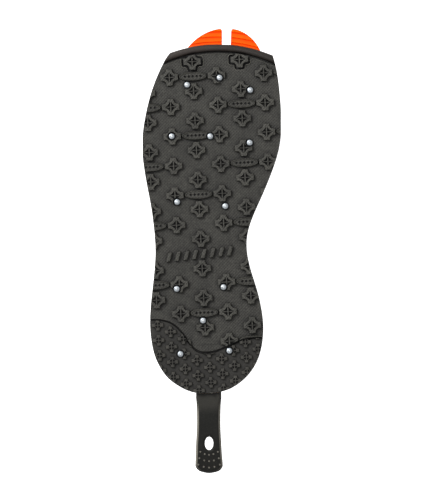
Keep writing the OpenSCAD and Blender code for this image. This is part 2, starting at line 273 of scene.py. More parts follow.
class Solid:
    """Points in millimetres and the faces between them."""

    def __init__(self):
        self.points = []
        self.faces = []

    def ring(self, ring, z):
        start = len(self.points)
        z = np.broadcast_to(z, len(ring))
        self.points += [(x, y, h) for (x, y), h in zip(ring, z)]
        return list(range(start, len(self.points)))

    def wall(self, a, b):
        n = len(a)
        self.faces += [(a[i], a[(i + 1) % n], b[(i + 1) % n], b[i]) for i in range(n)]

    def lid(self, *rings):
        """Fills the first ring, leaving the others open as holes."""
        flat = [i for ring in rings for i in ring]
        loops = [[Vector(self.points[i][:2] + (0,)) for i in ring] for ring in rings]
        self.faces += [tuple(flat[i] for i in t) for t in tessellate_polygon(loops)]

    def tower(self, levels):
        """Walls from ring to ring; returns the first and the last."""
        made = [self.ring(ring, z) for ring, z in levels]
        for a, b in zip(made, made[1:]):
            self.wall(a, b)
        return made[0], made[-1]

    def arrays(self):
        """Points and faces with all faces turned outward."""
        mesh = bpy.data.meshes.new("solid")
        mesh.from_pydata(self.points, [], self.faces)
        bm = bmesh.new()
        bm.from_mesh(mesh)
        bmesh.ops.recalc_face_normals(bm, faces=bm.faces)
        points = np.array([v.co for v in bm.verts])
        faces = [tuple(v.index for v in f.verts) for f in bm.faces]
        bm.free()
        bpy.data.meshes.remove(mesh)
        return points, faces


def raw_piece(name, points, faces):
    """A Blender object from points in millimetres, still flat."""
    mesh = bpy.data.meshes.new(name)
    mesh.from_pydata([tuple(p) for p in np.asarray(points, float)], [], faces)
    piece = bpy.data.objects.new(name, mesh)
    bpy.context.scene.collection.objects.link(piece)
    return piece


def solid_piece(name, solid):
    return raw_piece(name, *solid.arrays())


def taken(piece):
    """A piece's points and faces; the piece itself is removed."""
    points = np.array([v.co for v in piece.data.vertices])
    faces = [tuple(f.vertices) for f in piece.data.polygons]
    bpy.data.objects.remove(piece)
    return points, faces


def field(name, stamps):
    """One object of many copies: stamps are (points, faces) with the place and turn of each."""
    points, faces, start = [], [], 0
    for (p, f), place, angle in stamps:
        moved = p.copy()
        moved[:, :2] = turned(p[:, :2], angle) + place
        points.append(moved)
        faces += [tuple(i + start for i in face) for face in f]
        start += len(p)
    return raw_piece(name, np.vstack(points), faces)


def stack(name, levels):
    """A closed solid through rings at rising heights."""
    solid = Solid()
    bottom, top = solid.tower(levels)
    solid.lid(bottom)
    solid.lid(top)
    return solid_piece(name, solid)


def block(name, points, nx, ny):
    """A closed solid of a grid of nx by ny points below and the same grid above, fine enough to bend."""
    faces = []

    def at(i, j, level):
        return (level * ny + j) * nx + i

    for j in range(ny - 1):
        for i in range(nx - 1):
            faces.append((at(i, j, 1), at(i + 1, j, 1), at(i + 1, j + 1, 1), at(i, j + 1, 1)))
            faces.append((at(i, j, 0), at(i, j + 1, 0), at(i + 1, j + 1, 0), at(i + 1, j, 0)))
    for i in range(nx - 1):
        faces.append((at(i, 0, 0), at(i + 1, 0, 0), at(i + 1, 0, 1), at(i, 0, 1)))
        faces.append((at(i, ny - 1, 0), at(i, ny - 1, 1), at(i + 1, ny - 1, 1), at(i + 1, ny - 1, 0)))
    for j in range(ny - 1):
        faces.append((at(0, j, 0), at(0, j, 1), at(0, j + 1, 1), at(0, j + 1, 0)))
        faces.append((at(nx - 1, j, 0), at(nx - 1, j + 1, 0), at(nx - 1, j + 1, 1), at(nx - 1, j, 1)))
    return raw_piece(name, points, faces)


def slab(name, x, y, z, step=3.2):
    """A flat block from corner to corner."""
    xs = np.linspace(x[0], x[1], round((x[1] - x[0]) / step) + 1)
    ys = np.linspace(y[0], y[1], round((y[1] - y[0]) / step) + 1)
    return block(name, [(a, b, h) for h in z for b in ys for a in xs], len(xs), len(ys))


def toe_arc(name, profile, start, end, steps):
    """A closed bar along the toe's arc; profile is (radius, height) all round its section."""
    solid = Solid()
    loops = [solid.ring(arc(TOE_CENTRE, r, start, end, steps), z) for r, z in profile]
    for a, b in zip(loops, loops[1:] + loops[:1]):
        solid.faces += [(a[i], a[i + 1], b[i + 1], b[i]) for i in range(steps)]
    solid.faces.append(tuple(loop[0] for loop in loops))
    solid.faces.append(tuple(loop[-1] for loop in loops)[::-1])
    return solid_piece(name, solid)


def combine(piece, other, how):
    """Boolean of two closed solids; other is used up."""
    tool = piece.modifiers.new("combine", "BOOLEAN")
    tool.operation = how
    tool.object = other
    tool.solver = "MANIFOLD"
    graph = bpy.context.evaluated_depsgraph_get()
    made = bpy.data.meshes.new_from_object(piece.evaluated_get(graph))
    piece.modifiers.clear()
    piece.data = made
    bpy.data.objects.remove(other)
    if not len(made.polygons):
        raise ValueError(f"{piece.name} came out empty")
    return piece


def prism(name, ring, z0, z1, bevel=0.25, steps=1, reach=1.0):
    """A cutter shaped like ring whose edges at z0 and z1 are rounded off, and which runs past both."""
    turns = [math.radians(90) * k / steps for k in range(steps + 1)]
    rise = [(bevel * (math.cos(a) - 1), z1 - bevel * (1 - math.sin(a))) for a in turns]
    low_edge = [(d, z0 + z1 - z) for d, z in rise][::-1]
    levels = [(-bevel, z0 - reach)] + low_edge + rise + [(-bevel, z1 + reach)]
    return stack(name, [(offset(ring, d), z) for d, z in levels])


def keep_inside(piece, z0, z1, *cuts):
    """Cuts a piece down to each ring in turn; a cut is the ring, then the bevel and its steps for prism."""
    for ring, *edge in cuts:
        combine(piece, prism("cut", ring, z0, z1, *edge), "INTERSECT")
    return piece


def finished(piece, material, sharp=32, bent=True):
    """Bends a flat piece like its layer, turns it into metres, and gives it material and smooth shading."""
    mesh = piece.data
    points = np.zeros(len(mesh.vertices) * 3)
    mesh.vertices.foreach_get("co", points)
    points = points.reshape(-1, 3)
    mark(piece, "level", points[:, 2])
    if bent:
        points[:, 2] -= drop(points[:, 1])
    mesh.vertices.foreach_set("co", (points * MM).ravel())
    mesh.materials.clear()
    mesh.materials.append(material)
    mesh.polygons.foreach_set("use_smooth", [True] * len(mesh.polygons))
    mesh.set_sharp_from_angle(angle=math.radians(sharp))
    mesh.update()
    return piece


def mark(piece, name, values):
    """Gives each of the piece's points a value that its material can read."""
    attribute = piece.data.attributes.get(name) or piece.data.attributes.new(name, "FLOAT", "POINT")
    attribute.data.foreach_set("value", np.asarray(values, np.float32))
    return piece


# ---------------------------------------------------------------- materials


def linear(*rgb):
    """sRGB values from 0 to 255 as the linear colour that shaders use."""
    def one(c):
        c /= 255
        return c / 12.92 if c <= 0.04045 else ((c + 0.055) / 1.055) ** 2.4
    return tuple(one(c) for c in rgb) + (1.0,)


class Finish:
    """A material built from nodes, with a few shorthands for adding and joining them."""

    def __init__(self, name, **sockets):
        self.material = bpy.data.materials.new(name)
        self.material.use_nodes = True
        self.nodes = self.material.node_tree.nodes
        self.links = self.material.node_tree.links
        self.shader = self.nodes["Principled BSDF"]
        for socket, value in sockets.items():
            self.shader.inputs[socket.replace("_", " ")].default_value = value
        place = self.nodes.new("ShaderNodeTexCoord")
        self.place = self.add("ShaderNodeVectorMath", "Vector", place.outputs["Object"], operation="SCALE")
        self.place.node.inputs["Scale"].default_value = 1 / MM

    def add(self, kind, socket, source, out=0, **settings):
        """A new node fed by source; settings are its properties, or the names of its inputs."""
        node = self.nodes.new(kind)
        for key, value in settings.items():
            if hasattr(node, key):
                setattr(node, key, value)
            else:
                node.inputs[key].default_value = value
        if source is not None:
            self.links.new(source, node.inputs[socket])
        return node.outputs[out]

    def noise(self, scale, detail=4.0, roughness=0.6):
        return self.add(
            "ShaderNodeTexNoise", "Vector", self.place, Scale=scale, Detail=detail, Roughness=roughness
        )

    def attribute(self, name):
        return self.add("ShaderNodeAttribute", None, None, out=2, attribute_name=name)

    def spread(self, source, low, high, to_low, to_high):
        """Maps low..high to to_low..to_high, and stops at both ends."""
        node = self.add("ShaderNodeMapRange", "Value", source)
        for socket, value in zip(("From Min", "From Max", "To Min", "To Max"), (low, high, to_low, to_high)):
            node.node.inputs[socket].default_value = value
        return node

    def ramp(self, source, *stops):
        node = self.add("ShaderNodeValToRGB", "Fac", source).node
        elements = node.color_ramp.elements
        while len(elements) < len(stops):
            elements.new(0.5)
        for element, (at, colour) in zip(elements, stops):
            element.position = at
            element.color = colour
        return node.outputs[0]

    def blend(self, factor, a, b, how="MIX"):
        node = self.nodes.new("ShaderNodeMix")
        node.data_type = "RGBA"
        node.blend_type = how
        for socket, source in ((0, factor), (6, a), (7, b)):
            if isinstance(source, (tuple, float)):
                node.inputs[socket].default_value = source
            else:
                self.links.new(source, node.inputs[socket])
        return node.outputs[2]

    def times(self, colour, factor):
        return self.blend(1.0, colour, factor, "MULTIPLY")

    def calc(self, a, b, how="ADD"):
        node = self.nodes.new("ShaderNodeMath")
        node.operation = how
        for socket, source in ((0, a), (1, b)):
            if isinstance(source, float):
                node.inputs[socket].default_value = source
            else:
                self.links.new(source, node.inputs[socket])
        return node.outputs[0]

    def hatch(self, pitch, angle):
        """Fine parallel ridges across the sole, pitch in millimetres."""
        way = self.add("ShaderNodeMapping", "Vector", self.place)
        way.node.inputs["Rotation"].default_value = (0, 0, math.radians(angle))
        scale = math.pi / 10 / pitch
        return self.add(
            "ShaderNodeTexWave", "Vector", way, out=1, Scale=scale, Distortion=0.6, bands_direction="X"
        )

    def bump(self, source, distance):
        node = self.nodes.new("ShaderNodeBump")
        node.inputs["Distance"].default_value = distance * MM
        node.inputs["Strength"].default_value = 1.0
        self.links.new(source, node.inputs["Height"])
        self.links.new(node.outputs[0], self.shader.inputs["Normal"])

    def set(self, socket, source):
        self.links.new(source, self.shader.inputs[socket])


def rubber(
    name, colour, rough=0.6, hatched=0.5, dust=0.08, grain=0.5, raised=(9, 10, 1.0), painted_crevice_shade=0.12,
    spec=0.4, painted_rim_colour=None, sunk=(-2, -1),
):
    """Moulded black rubber: cloudy in tone, lightly dusty, with a fine crossed texture.

    It gets lighter from the first raised height to the second, a painted highlight on the tops, and darker in
    narrow crevices and below the sunk heights, which is painted shade. Points marked as rims take a second
    colour: painted highlight on the tread's beads and the strap's bevel, painted shade on the toe lip.
    """
    f = Finish(name, IOR=1.5, Specular_IOR_Level=spec)
    cloud = f.noise(0.05, 3.0)
    fine = f.noise(1.7, 5.0, 0.7)
    dark = tuple(c * 0.82 for c in colour[:3]) + (1.0,)
    pale = tuple(c * 1.18 for c in colour[:3]) + (1.0,)
    tone = f.ramp(cloud, (0.35, dark), (0.65, pale))
    crossed = f.calc(f.hatch(1.9, 43), f.hatch(1.9, -47), "MAXIMUM")
    patches = f.spread(f.noise(0.55, 4.0, 0.75), 0.35, 0.65, 0.1, 1.6)
    patchy = f.calc(crossed, patches, "MULTIPLY")
    weave = f.spread(patchy, 0.2, 1.2, 1.0 - 0.5 * hatched, 1.0 + 0.55 * hatched)
    tone = f.times(tone, weave)
    level = f.attribute("level")
    # Painted highlight: the colour gets lighter towards the tops of the raised parts
    tone = f.times(tone, f.spread(level, raised[0], raised[1], 1.0, raised[2]))
    # Painted shade: the colour gets darker in the wells below the sunk heights
    tone = f.times(tone, f.spread(level, sunk[0], sunk[1], 0.35, 1.0))
    # Marked rims take the second colour: painted highlight on beads and strap, painted shade on the lip
    if painted_rim_colour:
        tone = f.blend(f.attribute("rim"), tone, painted_rim_colour)
    specks = f.spread(f.noise(0.9, 6.0, 0.8), 0.52, 0.75, 0.0, dust)
    tone = f.blend(specks, tone, linear(150, 146, 136))
    # Painted shade: an occlusion node darkens the colour in crevices, grooves and round the lugs
    painted_occlusion = f.add("ShaderNodeAmbientOcclusion", None, None, out=1, samples=8, Distance=4.0 * MM)
    f.set("Base Color", f.times(tone, f.spread(painted_occlusion, 0.4, 1.0, painted_crevice_shade, 1.0)))
    f.set("Roughness", f.spread(fine, 0.3, 0.7, rough - 0.08, rough + 0.1))
    height = f.calc(f.calc(crossed, hatched, "MULTIPLY"), f.calc(fine, grain, "MULTIPLY"))
    f.bump(height, 0.3)
    return f.material


def orange_plastic():
    """Glossy orange, with painted shade that turns the grooves between its ribs redder."""
    f = Finish("tongue_orange", IOR=1.46, Specular_IOR_Level=0.1)
    cloud = f.noise(0.07, 3.0)
    tone = f.ramp(cloud, (0.35, linear(254, 90, 0)), (0.65, linear(255, 104, 0)))
    # Painted shade: the rib grooves take a darker red, fading to the plain orange on the crests
    ribs = f.spread(f.attribute("level"), TONGUE_TOP - RIB_DEPTH, TONGUE_TOP - 0.1, 0.0, 1.0)
    f.set("Base Color", f.blend(ribs, linear(236, 34, 0), tone))
    fine = f.noise(2.2, 5.0)
    f.set("Roughness", f.spread(fine, 0.3, 0.7, 0.42, 0.55))
    f.bump(fine, 0.05)
    return f.material


def steel(name, colour, rough):
    """Bare metal with a fine, uneven polish."""
    f = Finish(name, Metallic=1.0)
    fine = f.noise(1.4, 5.0)
    dull = tuple(c * 0.8 for c in colour[:3]) + (1.0,)
    f.set("Base Color", f.ramp(fine, (0.35, dull), (0.65, colour)))
    f.set("Roughness", f.spread(fine, 0.3, 0.7, rough - 0.06, rough + 0.08))
    f.bump(f.noise(3.0, 4.0), 0.03)
    return f.material


def plain(name, colour, rough, glow=0.0):
    """An even, slightly cloudy surface, which may glow white so that a floor stays pale."""
    f = Finish(name, Roughness=rough, Emission_Strength=glow)
    f.shader.inputs["Emission Color"].default_value = (1, 1, 1, 1)
    cloud = f.noise(0.01, 2.0)
    pale = tuple(min(1.0, c * 1.02) for c in colour[:3]) + (1.0,)
    f.set("Base Color", f.ramp(cloud, (0.4, colour), (0.6, pale)))
    return f.material


# Main tread: painted highlight on the lug tops, painted shade in the wells, and a lighter rim colour painted
# on the beads as highlight
TREAD_RUBBER = rubber(
    "tread_rubber_main", linear(53, 52, 47.5), hatched=0.7, raised=(LUG_Z + 0.2, LUG_TOP, 1.45),
    sunk=(LUG_Z - 0.2, LUG_Z - 0.02), painted_rim_colour=linear(100, 98, 90),
)
# Heel tread: a stronger painted highlight on the lug tops, and painted shade in the wells
HEEL_RUBBER = rubber(
    "tread_rubber_heel", linear(44, 42.5, 38.5), hatched=0.2, raised=(HEEL_Z + 0.2, HEEL_TOP, 1.8),
    sunk=(HEEL_Z - 0.2, HEEL_Z - 0.02),
)
# Carrier rubber: its second, darker colour is painted shade on the lip's right end
LIP_RUBBER = rubber(
    "carrier_rubber", linear(43, 35, 30), rough=0.55, hatched=0.0, grain=0.35, painted_rim_colour=linear(14, 14, 11)
)
# Strap rubber: its second, lighter colour is a painted highlight on the bevel, also used on the hole rim and
# dots
STRAP_RUBBER = rubber(
    "strap_rubber", linear(24, 24, 21), rough=0.5, hatched=0.0, grain=0.4, spec=0.2,
    painted_rim_colour=linear(122, 118, 109),
)
PLUG_RUBBER = rubber("pad_rubber", linear(45, 44, 41), hatched=0.0)
ORANGE = orange_plastic()
STEEL = steel("stud_steel_bright", linear(212, 219, 225), 0.5)
CARBIDE = steel("carbide_bright", linear(232, 236, 238), 0.4)
GLUE = plain("dried_glue", linear(112, 84, 60), 0.5)

# ---------------------------------------------------------------- lugs and bosses


def carved(body, pockets):
    """A body's points and faces once pockets, as (ring, top, floor, inset at the floor), are sunk into it."""
    for ring, top, floor, inset in pockets:
        levels = [(offset(ring, -inset), floor), (ring, top), (ring, top + 1)]
        combine(body, stack("pocket", levels), "DIFFERENCE")
    return taken(body)


def half_star(reach=8.2, r=8.45, rib=0.45, cross=0.3):
    """The right half of a lug's four-pointed middle, and its upper corner well.

    The curved sides are arcs of radius r about points at (reach, reach) and its mirror images.
    """
    def side(edge, steps):
        """The curved side in the first quadrant, from y = edge to x = rib."""
        start = math.atan2(edge - reach, -math.sqrt(r * r - (edge - reach) ** 2))
        end = math.atan2(-math.sqrt(r * r - (rib - reach) ** 2), rib - reach)
        return arc((reach, reach), r, math.degrees(start) % 360, math.degrees(end) % 360, steps)
    upper = side(cross, 7)
    outline = np.vstack([(upper * (1, -1))[::-1], upper])
    well = offset(np.vstack([[rib, cross], upper]), -0.05)
    return outline, well


def large_lug(flare=0.5, root=0.5):
    """A cross-shaped lug with a star-shaped middle and four wells; root is its depth in the sheet."""
    top, base = LUG_TOP, LUG_Z
    ring = plus_ring(*LUG_PLAN)
    levels = [
        (flare, base - root), (flare, base), (flare * 0.3, base + 0.35), (0, base + 0.9),
        (0, top - 0.28), (-0.08, top - 0.08), (-0.28, top),
    ]
    half, well = half_star()
    pockets = []
    for sign in (1, -1):
        pockets.append((half * sign, top, top - 0.38, 0.1))
        for flip in (1, -1):
            pockets.append(((well * (1, flip))[::flip] * sign, top - 0.3, base - 0.3, 0.12))
    return carved(stack("lug", [(offset(ring, d), z) for d, z in levels]), pockets)


def small_lug():
    """A heel lug: a small cross with four tiny wells round its centre."""
    top, base = HEEL_TOP, HEEL_Z
    ring = plus_ring(*HEEL_LUG_PLAN)
    levels = [
        (0.5, base - 0.5), (0.5, base), (0.1, base + 0.5),
        (0, top - 0.25), (-0.07, top - 0.07), (-0.25, top),
    ]
    rib, reach = 0.28, 2.55
    quarter = np.vstack([[rib, rib], arc((0, 0), reach, 9, 81, 6)])
    pockets = [(turned(quarter, k * math.pi / 2), top, base - 0.3, 0.06) for k in range(4)]
    return carved(stack("small_lug", [(offset(ring, d), z) for d, z in levels]), pockets)


def oval_boss():
    """A low oval with a raised rim and a row of engraved diamonds."""
    top, base = LUG_TOP, LUG_Z
    levels = [
        (12.6, 4.2, base - 0.5), (12.6, 4.2, base), (12.05, 3.7, top - 0.5), (11.75, 3.45, top - 0.1),
        (11.45, 3.2, top), (11.2, 3.0, top - 0.1), (10.9, 2.75, top - 0.6),
    ]
    body = stack("boss", [(ellipse(a, b, 48), z) for a, b, z in levels])
    diamond = np.array([(1.5, 0), (0, 1.45), (-1.5, 0), (0, -1.45)])
    pitch = 3.4
    pockets = [(diamond + (k * pitch, 0), top - 0.55, top - 2.0, 0.15) for k in range(-2, 3)]
    return carved(body, pockets)


def lug_place(c, r):
    """The middle of the lug in column c, from the left, and row r, from the toe."""
    return LUG_ORIGIN + turned((c * LUG_PITCH, -r * LUG_ROW), LUG_TURN)


def heel_place(c, r):
    """The same for the heel, where every second column is set back."""
    stagger = HEEL_STAGGER if c % 2 else 0
    return HEEL_ORIGIN + turned((c * HEEL_PITCH, -(r + stagger) * HEEL_ROW), HEEL_TURN)


# ---------------------------------------------------------------- outlines used by several pieces

SOLE = sole_ring()
WAVE = wave_line()
INSIDE = TOE_ARC - LIP_WIDTH
SOLE_LOW = (SOLE.min(0)[0] - 2, SOLE.min(0)[1] - 2)
SOLE_HIGH = (SOLE.max(0)[0] + 2, SOLE.max(0)[1] + 2)


def inside_lip(gap):
    """A ring round everything behind the toe lip, with the given gap to it."""
    front = arc(TOE_CENTRE, INSIDE - gap, 45, 135, 60)
    return np.vstack([front, [-95, -160], [95, -160]])


def main_side(shift=0.0):
    """A ring round everything in front of the wavy edge, with the edge moved back by shift."""
    return np.vstack([WAVE - (0, shift), [80, 220], [-80, 220]])


def heel_side(shift):
    """A ring round everything behind the wavy groove, which is widest in its middle."""
    narrow = np.interp(WAVE[:, 0], (-34, -16, 12, 30), (0.55, 1, 1, 0.6))
    return np.vstack([(WAVE - np.outer(narrow, (0, shift)))[::-1], [-80, -160], [80, -160]])


def stud_holes(piece, numbers, top, chamfer=0.3):
    """Cuts a round counterbore with a soft rim, and the shank's hole below it, at each stud."""
    wide, narrow = COUNTERBORE / 2, SHANK_RADIUS + 0.02
    floor = top - COUNTERBORE_DEPTH
    hole = taken(stack("hole", [(ellipse(r, r, 36), z) for r, z in (
        (narrow, SHEET_Z - 1), (narrow, floor), (wide, floor + 0.01), (wide, top - chamfer),
        (wide + chamfer, top), (wide + chamfer, top + 2),
    )]))
    for number in numbers:
        combine(piece, field("hole", [(hole, stud_place(number), 0)]), "DIFFERENCE")


def stud_place(number):
    """Where a stud meets its layer, in plan, once that layer lies flat."""
    return ((low("stud_" + number) + high("stud_" + number)) / 2)[:2] - (0, stud_lean(number)[1])


def stud_lean(number):
    """The slope of the carrier under a stud, and how far forward that slope puts the stud's middle."""
    y = (low("stud_" + number)[1] + high("stud_" + number)[1]) / 2
    slope = math.atan(max(y - BALL_Y, 0) / TOE_RADIUS)
    return slope, 3.0 * math.sin(slope)


# ---------------------------------------------------------------- the treads

def main_tread():
    """The sheet in front of the wavy edge, with its lugs, bosses, bars, windows, beads and stud holes."""
    top = LUG_TOP
    across, along = (SOLE_LOW[0], SOLE_HIGH[0]), (WAVE[:, 1].min() - 4, SOLE_HIGH[1])
    sheet = slab("main_tread", across, along, (SHEET_Z, LUG_Z))
    keep_inside(sheet, SHEET_Z, LUG_Z, (SOLE, 0.3), (inside_lip(LIP_GROOVE), 0.5), (main_side(), 0.5))
    lug, sunk_lug, boss = large_lug(), large_lug(0.0, 2.4), oval_boss()
    window = plus_ring(*LUG_PLAN)
    moat_levels = ((1.6, -2.2), (1.65, -0.3), (1.8, 1))
    moat = taken(stack("moat", [(offset(window, d), LUG_Z + h) for d, h in moat_levels]))
    rim = window_rim(window)
    stamps, rims = [], []
    for r in range(LAST_ROW + 1):
        if r == GRIP_ROW:
            continue
        for c in range(-1, 6):
            place = lug_place(c, r)
            if (c + r) % 2:
                stamps.append((lug if r else sunk_lug, place, LUG_TURN))
                if r == 0:
                    combine(sheet, field("moat", [(moat, place, LUG_TURN)]), "DIFFERENCE")
                    rims.append((rim, place, LUG_TURN))
            if r % 2 and (c - (1 if r % 4 == 1 else 3)) % 4 == 0:
                stamps.append((boss, place, LUG_TURN))
    lugs = field("lugs", stamps + grip_bars())
    keep_inside(
        lugs, LUG_Z - 4, top,
        (offset(SOLE, -0.04), 0.25), (inside_lip(LIP_GROOVE + 0.05), 0.25), (main_side(-0.05), 0.25),
    )
    combine(sheet, lugs, "UNION")
    beads = field("beads", rims)
    # Painted highlight: the beads round the windows take the lighter rim colour
    mark(beads, "rim", np.ones(len(beads.data.vertices)))
    keep_inside(beads, LUG_Z - 4, top, (inside_lip(LIP_GROOVE + 0.5), 0.25), (offset(SOLE, -0.3), 0.25))
    for extra in (beads, front_bead(), mould_line()):
        combine(sheet, extra, "UNION")
    stud_holes(sheet, MAIN_STUDS, top)
    return finished(sheet, TREAD_RUBBER)


def grip_bars():
    """Eight slanted bars in a row across the arch."""
    outline = rounded([(-3.2, -4), (0.2, -4), (3.2, 4), (-0.2, 4)], 0.7, 3)
    bar = taken(stack("bar", [(offset(outline, d), z) for d, z in (
        (0.3, LUG_Z - 0.5), (0.3, LUG_Z), (0, LUG_Z + 0.5),
        (0, LUG_TOP - 0.5), (-0.15, LUG_TOP - 0.15), (-0.5, LUG_TOP),
    )]))
    count, pitch, middle = 8, 7.6, (-10.7, -2.6)
    turn = LUG_TURN + math.radians(3)
    places = [turned(((i - (count - 1) / 2) * pitch, 0), turn) + middle for i in range(count)]
    return [(bar, place, turn) for place in places]


def window_rim(window):
    """A fine bead round a lug's window, which fades away towards the rear."""
    solid = Solid()
    loops = []
    for d, h in ((1.85, -0.3), (2.0, 0.6), (2.4, 0.6), (2.7, -0.3)):
        ring = offset(window, d)
        fade = np.clip((ring[:, 1] + 9) / 4, 0.2, 1)
        loops.append(solid.ring(ring, LUG_Z + (h * fade if h > 0 else h)))
    for a, b in zip(loops, loops[1:] + loops[:1]):
        solid.wall(a, b)
    return solid.arrays()


def front_bead():
    """A fine bead along the front edge of the main tread."""
    front = INSIDE - LIP_GROOVE
    bead = toe_arc("front_bead", [(front - inset, LUG_Z + h) for inset, h in (
        (1.0, -0.3), (1.15, 0.3), (1.45, 0.3), (1.6, -0.3),
    )], 63, 114, 60)
    # Painted highlight: the front bead takes half of the lighter rim colour
    mark(bead, "rim", np.full(len(bead.data.vertices), 0.5))
    return keep_inside(bead, LUG_Z - 1, LUG_Z + 1, (offset(SOLE, -1.2), 0.2))


def mould_line():
    """A fine raised line left by the mould, just in front of the wavy edge."""
    line = rounded([(-13.2, -82.4), (7.9, -81.2), (7.9, -80.7), (-13.2, -81.9)], 0.2, 2)
    return stack("line", [(line, LUG_Z - 0.3), (line, LUG_Z + 0.15), (offset(line, -0.12), LUG_Z + 0.28)])


def heel_tread():
    """The lower sheet behind the wavy groove, with its small lugs and two stud holes."""
    top = HEEL_TOP
    across, along = (SOLE_LOW[0], SOLE_HIGH[0]), (SOLE_LOW[1], WAVE[:, 1].max() + 4)
    sheet = slab("heel_tread_piece", across, along, (SHEET_Z, HEEL_Z))
    keep_inside(sheet, SHEET_Z, HEEL_Z, (SOLE, 0.35), (heel_side(HEEL_GROOVE), 0.7))
    lug = small_lug()
    lugs = field("heel_lugs", [(lug, heel_place(c, r), LUG_TURN) for c in range(9) for r in range(-1, 6)])
    keep_inside(lugs, HEEL_Z - 4, top, (offset(SOLE, -0.04), 0.2), (heel_side(HEEL_GROOVE + 0.3), 0.2))
    combine(sheet, lugs, "UNION")
    stud_holes(sheet, HEEL_STUDS, top)
    return finished(sheet, HEEL_RUBBER)


# ---------------------------------------------------------------- carrier, tongue, strap, pads, studs, glue


def toe_lip():
    """The raised, softly rounded rim along the toe."""
    foot = SHEET_Z - 0.3
    profile = [(0.02, foot)] + [(d, LIP_TOP - down) for d, down in (
        (0.02, 2.0), (0.4, 1.35), (0.95, 0.75), (1.6, 0.3), (2.5, 0.03), (3.6, 0.02), (4.9, 0.25),
        (5.6, 0.6), (6.0, 1.1), (6.18, 1.7),
    )] + [(6.18, foot)]
    lip = toe_arc("lip", [(INSIDE + d, z) for d, z in profile], 60, 120, 72)
    return keep_inside(lip, SHEET_Z - 1, LIP_TOP, (offset(SOLE, -0.01), 0.9, 3))


def carrier():
    """The smooth base of the whole sole with its toe lip, with painted shade that darkens it towards the
    right.
    """
    across, along = zip(SOLE_LOW, SOLE_HIGH)
    base = slab("carrier_piece", across, along, (CARRIER_Z, SHEET_Z))
    keep_inside(base, CARRIER_Z, SHEET_Z, (SOLE, 0.35))
    combine(base, toe_lip(), "UNION")
    finished(base, LIP_RUBBER, 40)
    # Painted shade: the carrier and lip darken towards the right, where less light falls
    x = np.array([v.co.x for v in base.data.vertices]) / MM
    darker = np.clip((x - TOE_CENTRE[0]) / 45, 0, 1) * 0.55
    return mark(base, "rim", darker)


def rib_height(r):
    """How high the ribs stand at a distance from the toe's centre, from 0 in a groove to 1 on a crest."""
    i = int(np.clip(np.searchsorted(RIB_GROOVES, r) - 1, 0, len(RIB_GROOVES) - 2))
    t = min(1, max(0, (r - RIB_GROOVES[i]) / (RIB_GROOVES[i + 1] - RIB_GROOVES[i])))
    return min(1, t / 0.16) * min(1, (1 - t) / 0.12) * (1 - 0.5 * t)


def tongue():
    """Two round tabs with ribs that follow the toe, running back into the carrier."""
    z0, z1 = TONGUE_TOP - TONGUE_THICK, TONGUE_TOP
    radii = np.arange(115, 139, 0.3)
    angles = np.radians(np.arange(58, 120, 0.8))[::-1]
    points = []
    for level in (0, 1):
        for r in radii:
            height = z1 - RIB_DEPTH * (1 - rib_height(r)) if level else z0
            x, y = TOE_CENTRE[0] + r * np.cos(angles), TOE_CENTRE[1] + r * np.sin(angles)
            points += [(a, b, height) for a, b in zip(x, y)]
    plate = block("tongue_tabs", points, len(angles), len(radii))
    tabs = []
    for centre, r, start, end, wall in TABS:
        curve = arc(centre, r, start, end, 28)
        sharp = [0] * (len(curve) - 2)
        if wall[0][1] < wall[1][1]:
            corners, rounds = [*wall, *curve[2:]], [0, TAB_CORNER] + sharp
        else:
            corners, rounds = [*curve[:-2], *wall], sharp + [TAB_CORNER, 0]
        tabs.append(prism("tab", rounded(corners, rounds, 5), z0, z1, 0.6, 3))
    combine(plate, combine(*tabs, "UNION"), "INTERSECT")
    return finished(plate, ORANGE, 45)


def strap_ring():
    """The strap's outline, read off its CAD node, with a short tail inside the sole."""
    tip = low("heel_strap")[1]
    rows = [(y, crossing(("heel_strap",), 1, y)) for y in np.arange(STRAP_Y - 2, tip + 2.6, -2.0)]
    left = [(s[0], y) for y, s in rows]
    right = [(s[1], y) for y, s in rows][::-1]
    end_xs = np.linspace(left[-1][0] + 0.7, right[0][0] - 0.7, 16)
    end = [(x, crossing(("heel_strap",), 0, x)[0]) for x in end_xs]
    ring = np.array(left + end + right)
    tail = [(right[-1][0] - 0.2, STRAP_Y + 12), (left[0][0] + 0.2, STRAP_Y + 12)]
    return np.vstack([smooth(ring, 2), tail])


def strap():
    """The strap with its bevelled edge, rimmed buttonhole and grip dots."""
    bottom, top = STRAP_Z, high("heel_strap")[2]
    tip = low("heel_strap")[1]
    ring = strap_ring()
    left = ring[:, 0] < STRAP_X
    ring[left, 0] -= 0.75 * np.clip((ring[left, 1] - tip - 8) / 16, 0, 1)
    body = slab("strap_piece", (STRAP_X - 16, STRAP_X + 16), (tip - 2, STRAP_Y + 14), (bottom, top), 1.6)
    edge = stack("edge", [(offset(ring, d), z) for d, z in (
        (-0.3, bottom - 1), (-0.3, bottom), (0, bottom + 0.35), (0, top - 1.6), (-0.12, top - 1.4),
        (-1.4, top - 0.5), (-1.95, top - 0.12), (-2.35, top), (-2.35, top + 1),
    )])
    combine(body, edge, "INTERSECT")
    hole = stack("hole", [(ellipse(a, b, 48) + (STRAP_X, HOLE_Y), z) for a, b, z in (
        (4.0, 6.1, bottom - 1), (3.75, 5.85, bottom + 0.2), (3.65, 5.75, bottom + 0.6),
        (3.65, 5.75, top - 1.5), (3.85, 5.95, top - 1.1), (4.9, 7.0, top - 0.25),
        (5.35, 7.3, top), (5.35, 7.3, top + 1),
    )])
    combine(body, hole, "DIFFERENCE")
    combine(body, grip_dots(top), "UNION")
    finished(body, STRAP_RUBBER, 40)
    return mark(body, "rim", strap_painted_sheen(body, bottom, top, tip))


